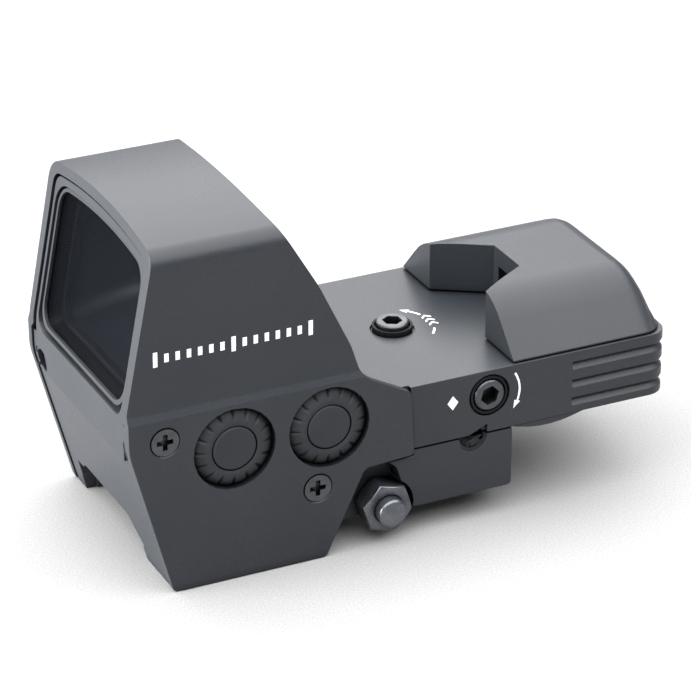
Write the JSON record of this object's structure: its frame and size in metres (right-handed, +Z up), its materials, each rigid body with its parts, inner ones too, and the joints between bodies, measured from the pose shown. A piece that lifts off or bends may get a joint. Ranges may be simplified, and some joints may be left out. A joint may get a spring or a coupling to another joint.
{
  "type": "red dot sight",
  "caption": "Open reflex red dot sight: hooded objective window, flat deck with adjusters, notched emitter housing and a rail clamp.",
  "frame": {"origin": "on the flat seat that rests on the rail, in the plane of symmetry, 8 mm ahead of the clamp bolt's axis", "axes": "+X to the user's eye, -X to the target, +Y to the right-hand side of the sight, +Z up"},
  "size_m": [0.0987, 0.0464, 0.0617],
  "materials": {
    "anodised_alloy": "matte bead-blasted black anodised",
    "black_alloy": "satin black anodised",
    "blackened_steel": "black oxide",
    "zinc_steel": "dark zinc plate",
    "brass": "turned",
    "button_rubber": "matte moulded",
    "black_plastic": "matte",
    "board_green": "solder mask",
    "coated_glass": "anti-reflection coated",
    "red_emitter": "clear red epoxy"
  },
  "bodies": {
    "housing": {"main_body": "anodised_alloy", "hood_shroud": "anodised_alloy", "hood_screw_left_front": "blackened_steel", "hood_screw_left_rear": "blackened_steel", "hood_screw_right_front": "blackened_steel", "hood_screw_right_rear": "blackened_steel", "emitter_cover": "anodised_alloy", "cover_screw_1": "blackened_steel", "cover_screw_2": "blackened_steel", "cover_screw_3": "blackened_steel", "cover_screw_4": "blackened_steel", "emitter_window": "coated_glass", "objective_lens": "coated_glass", "lens_seal": "button_rubber", "lens_retainer": "black_alloy", "mount_block": "anodised_alloy", "base_screw_1": "blackened_steel", "base_screw_2": "blackened_steel", "jaw_guide_pin_1": "blackened_steel", "jaw_guide_pin_2": "blackened_steel", "lock_screw": "blackened_steel", "front_set_screw": "blackened_steel", "elevation_collar": "black_alloy", "windage_bushing": "black_alloy", "elevation_spring": "blackened_steel", "windage_spring": "blackened_steel", "elevation_pivot_pin": "blackened_steel", "button_boot_front": "button_rubber", "button_boot_rear": "button_rubber", "tact_switch_front": "black_plastic", "tact_switch_rear": "black_plastic", "circuit_board": "board_green", "driver_chip": "black_plastic", "coin_cell": "zinc_steel", "battery_contact": "brass"},
    "battery_cap": {"battery_cap": "black_alloy", "cap_seal": "button_rubber"},
    "elevation_screw": {"elevation_screw": "blackened_steel"},
    "elevation_plunger": {"elevation_plunger": "brass"},
    "pivot_yoke": {"pivot_yoke": "brass", "windage_pivot_pin": "blackened_steel"},
    "emitter_arm": {"emitter_arm": "black_alloy", "led_emitter": "red_emitter", "reticle_mask": "blackened_steel", "reticle_holder": "black_alloy"},
    "windage_screw": {"windage_screw": "blackened_steel"},
    "windage_plunger": {"windage_plunger": "brass"},
    "clamp_nut": {"clamp_nut": "zinc_steel"},
    "clamp_jaw": {"clamp_jaw": "anodised_alloy", "clamp_bolt": "zinc_steel"},
    "button_front": {"button_front": "button_rubber"},
    "button_rear": {"button_rear": "button_rubber"}
  },
  "joints": [
    {"name": "elevation_turn", "type": "hinge", "parent": "housing", "child": "elevation_screw", "pos_m": [0.0192, 0, 0.0212], "axis": [0, 0, 1], "range_deg": [-360, 360]},
    {"name": "elevation_plunger_slide", "type": "slide", "parent": "housing", "child": "elevation_plunger", "axis": [0, 0, 1], "range_m": [-0.00035, 0.00035]},
    {"name": "elevation_tilt", "type": "hinge", "parent": "housing", "child": "pivot_yoke", "pos_m": [0.01, 0, 0.015], "axis": [0, 1, 0], "range_deg": [-2.25, 2.25]},
    {"name": "windage_tilt", "type": "hinge", "parent": "pivot_yoke", "child": "emitter_arm", "pos_m": [0.014, 0, 0.015], "axis": [0, 0, 1], "range_deg": [-2.4, 2.4]},
    {"name": "windage_turn", "type": "hinge", "parent": "housing", "child": "windage_screw", "pos_m": [0.0268, -0.02105, 0.0166], "axis": [0, -1, 0], "range_deg": [-540, 540]},
    {"name": "windage_plunger_slide", "type": "slide", "parent": "housing", "child": "windage_plunger", "axis": [0, 1, 0], "range_m": [-0.00052, 0.00052]},
    {"name": "clamp_nut_turn", "type": "hinge", "parent": "housing", "child": "clamp_nut", "pos_m": [0.008, -0.0198, 0], "axis": [0, -1, 0], "range_deg": [0, 720]},
    {"name": "clamp_jaw_slide", "type": "slide", "parent": "housing", "child": "clamp_jaw", "axis": [0, 1, 0], "range_m": [0, 0.0016]},
    {"name": "battery_cap_turn", "type": "hinge", "parent": "housing", "child": "battery_cap", "pos_m": [-0.0185, 0.021, 0.0105], "axis": [0, 1, 0], "range_deg": [0, 90]},
    {"name": "button_front_press", "type": "slide", "parent": "housing", "child": "button_front", "axis": [0, 1, 0], "range_m": [0, 0.0006], "stiffness_N_per_m": 1500, "springref_m": -0.0005},
    {"name": "button_rear_press", "type": "slide", "parent": "housing", "child": "button_rear", "axis": [0, 1, 0], "range_m": [0, 0.0006], "stiffness_N_per_m": 1500, "springref_m": -0.0005}
  ],
  "couplings": [
    {"joint": "elevation_turn", "follows": "elevation_plunger_slide", "rad_per_m": 17952},
    {"joint": "elevation_tilt", "follows": "elevation_plunger_slide", "rad_per_m": -108.7},
    {"joint": "windage_turn", "follows": "windage_plunger_slide", "rad_per_m": -17952},
    {"joint": "windage_tilt", "follows": "windage_plunger_slide", "rad_per_m": 78.125},
    {"joint": "clamp_nut_turn", "follows": "clamp_jaw_slide", "rad_per_m": 7853.9}
  ]
}
